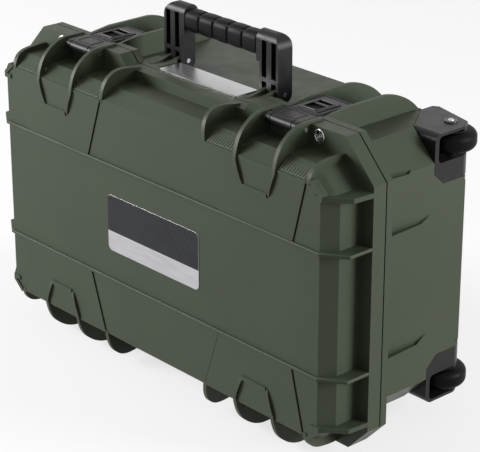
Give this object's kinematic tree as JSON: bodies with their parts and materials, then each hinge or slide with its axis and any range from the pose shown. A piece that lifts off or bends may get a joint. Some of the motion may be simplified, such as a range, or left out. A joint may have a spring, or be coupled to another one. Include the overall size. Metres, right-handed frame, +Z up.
{
  "type": "laptop hard case",
  "caption": "Ribbed hard case with foam for a laptop: hinged lid, press-to-open latches, folding carry handle, wheels in corner brackets and a telescopic pull handle.",
  "frame": {"origin": "on the surface the case stands on, mid-length, under the middle of its overall depth", "axes": "+X along the case towards the wheels, +Y from the lid towards the base, +Z up towards the carrying handle, with the case standing on its hinge side"},
  "size_m": [0.56, 0.2306, 0.4034],
  "materials": {
    "shell": "satin, fine moulded texture",
    "black_plastic": "satin",
    "grip": "matt",
    "foam": "matt open cell",
    "steel": "satin",
    "plate": "brushed",
    "tube": "satin anodised",
    "print": "printed, satin",
    "gasket": "matt",
    "tyre": "matt",
    "wheel": "satin",
    "zinc": "bright zinc",
    "button": "satin"
  },
  "bodies": {
    "base": {"base_shell": "shell", "base_foam": "foam", "laptop_pad": "foam", "base_eyelets": "steel", "handle_label": "plate", "wheel_bracket_upper": "black_plastic", "wheel_bracket_lower": "black_plastic", "wheel_axles": "steel", "bracket_screws": "zinc", "trolley_outer_tubes": "tube", "tube_collars": "black_plastic", "tube_sockets": "black_plastic", "rear_cover": "shell", "cover_screws": "zinc"},
    "lid": {"lid_shell": "shell", "lid_gasket": "gasket", "lid_foam": "foam", "lid_eyelets": "steel", "nameplate": "print", "latch_pins": "steel", "hinge_pins": "steel"},
    "left_latch": {"latch_left": "black_plastic", "trigger_pin_left": "steel", "trigger_spring_left": "steel"},
    "right_latch": {"latch_right": "black_plastic", "trigger_pin_right": "steel", "trigger_spring_right": "steel"},
    "left_trigger": {"trigger_left": "black_plastic"},
    "right_trigger": {"trigger_right": "black_plastic"},
    "carry_handle": {"handle_frame": "black_plastic", "handle_grip": "grip", "handle_pins": "steel"},
    "middle_stage": {"trolley_middle_tubes": "tube"},
    "inner_stage": {"trolley_inner_tubes": "tube", "trolley_grip": "black_plastic", "button_spring": "steel"},
    "release_button": {"trolley_button": "button", "lock_rods": "steel"},
    "upper_wheel": {"wheel_hub_upper": "wheel", "wheel_tyre_upper": "tyre", "wheel_bearing_upper": "steel"},
    "lower_wheel": {"wheel_hub_lower": "wheel", "wheel_tyre_lower": "tyre", "wheel_bearing_lower": "steel"}
  },
  "joints": [
    {"name": "lid_hinge", "type": "hinge", "parent": "base", "child": "lid", "pos_m": [0, -0.04925, 0.01], "axis": [1, 0, 0], "range_deg": [0, 105]},
    {"name": "left_latch_hinge", "type": "hinge", "parent": "lid", "child": "left_latch", "pos_m": [-0.1615, -0.07375, 0.3444], "axis": [1, 0, 0], "range_deg": [0, 100]},
    {"name": "right_latch_hinge", "type": "hinge", "parent": "lid", "child": "right_latch", "pos_m": [0.1615, -0.07375, 0.3444], "axis": [1, 0, 0], "range_deg": [0, 100]},
    {"name": "left_trigger_pivot", "type": "hinge", "parent": "left_latch", "child": "left_trigger", "pos_m": [-0.1615, -0.03075, 0.3426], "axis": [1, 0, 0], "range_deg": [0, 12], "stiffness_Nm_per_rad": 0.5, "springref_deg": -5.73},
    {"name": "right_trigger_pivot", "type": "hinge", "parent": "right_latch", "child": "right_trigger", "pos_m": [0.1615, -0.03075, 0.3426], "axis": [1, 0, 0], "range_deg": [0, 12], "stiffness_Nm_per_rad": 0.5, "springref_deg": -5.73},
    {"name": "carry_handle_pivot", "type": "hinge", "parent": "base", "child": "carry_handle", "pos_m": [0, -0.00575, 0.3389], "axis": [-1, 0, 0], "range_deg": [0, 90]},
    {"name": "middle_stage_slide", "type": "slide", "parent": "base", "child": "middle_stage", "axis": [-1, 0, 0], "range_m": [0, 0.25]},
    {"name": "inner_stage_slide", "type": "slide", "parent": "middle_stage", "child": "inner_stage", "axis": [-1, 0, 0], "range_m": [0, 0.25]},
    {"name": "release_button_press", "type": "slide", "parent": "inner_stage", "child": "release_button", "axis": [1, 0, 0], "range_m": [0, 0.003], "stiffness_N_per_m": 600, "springref_m": -0.003},
    {"name": "upper_wheel_spin", "type": "hinge", "parent": "base", "child": "upper_wheel", "pos_m": [0.236, 0.08775, 0.3094], "axis": [0, 0, 1], "continuous": true},
    {"name": "lower_wheel_spin", "type": "hinge", "parent": "base", "child": "lower_wheel", "pos_m": [0.236, 0.08775, 0.0434], "axis": [0, 0, 1], "continuous": true}
  ]
}
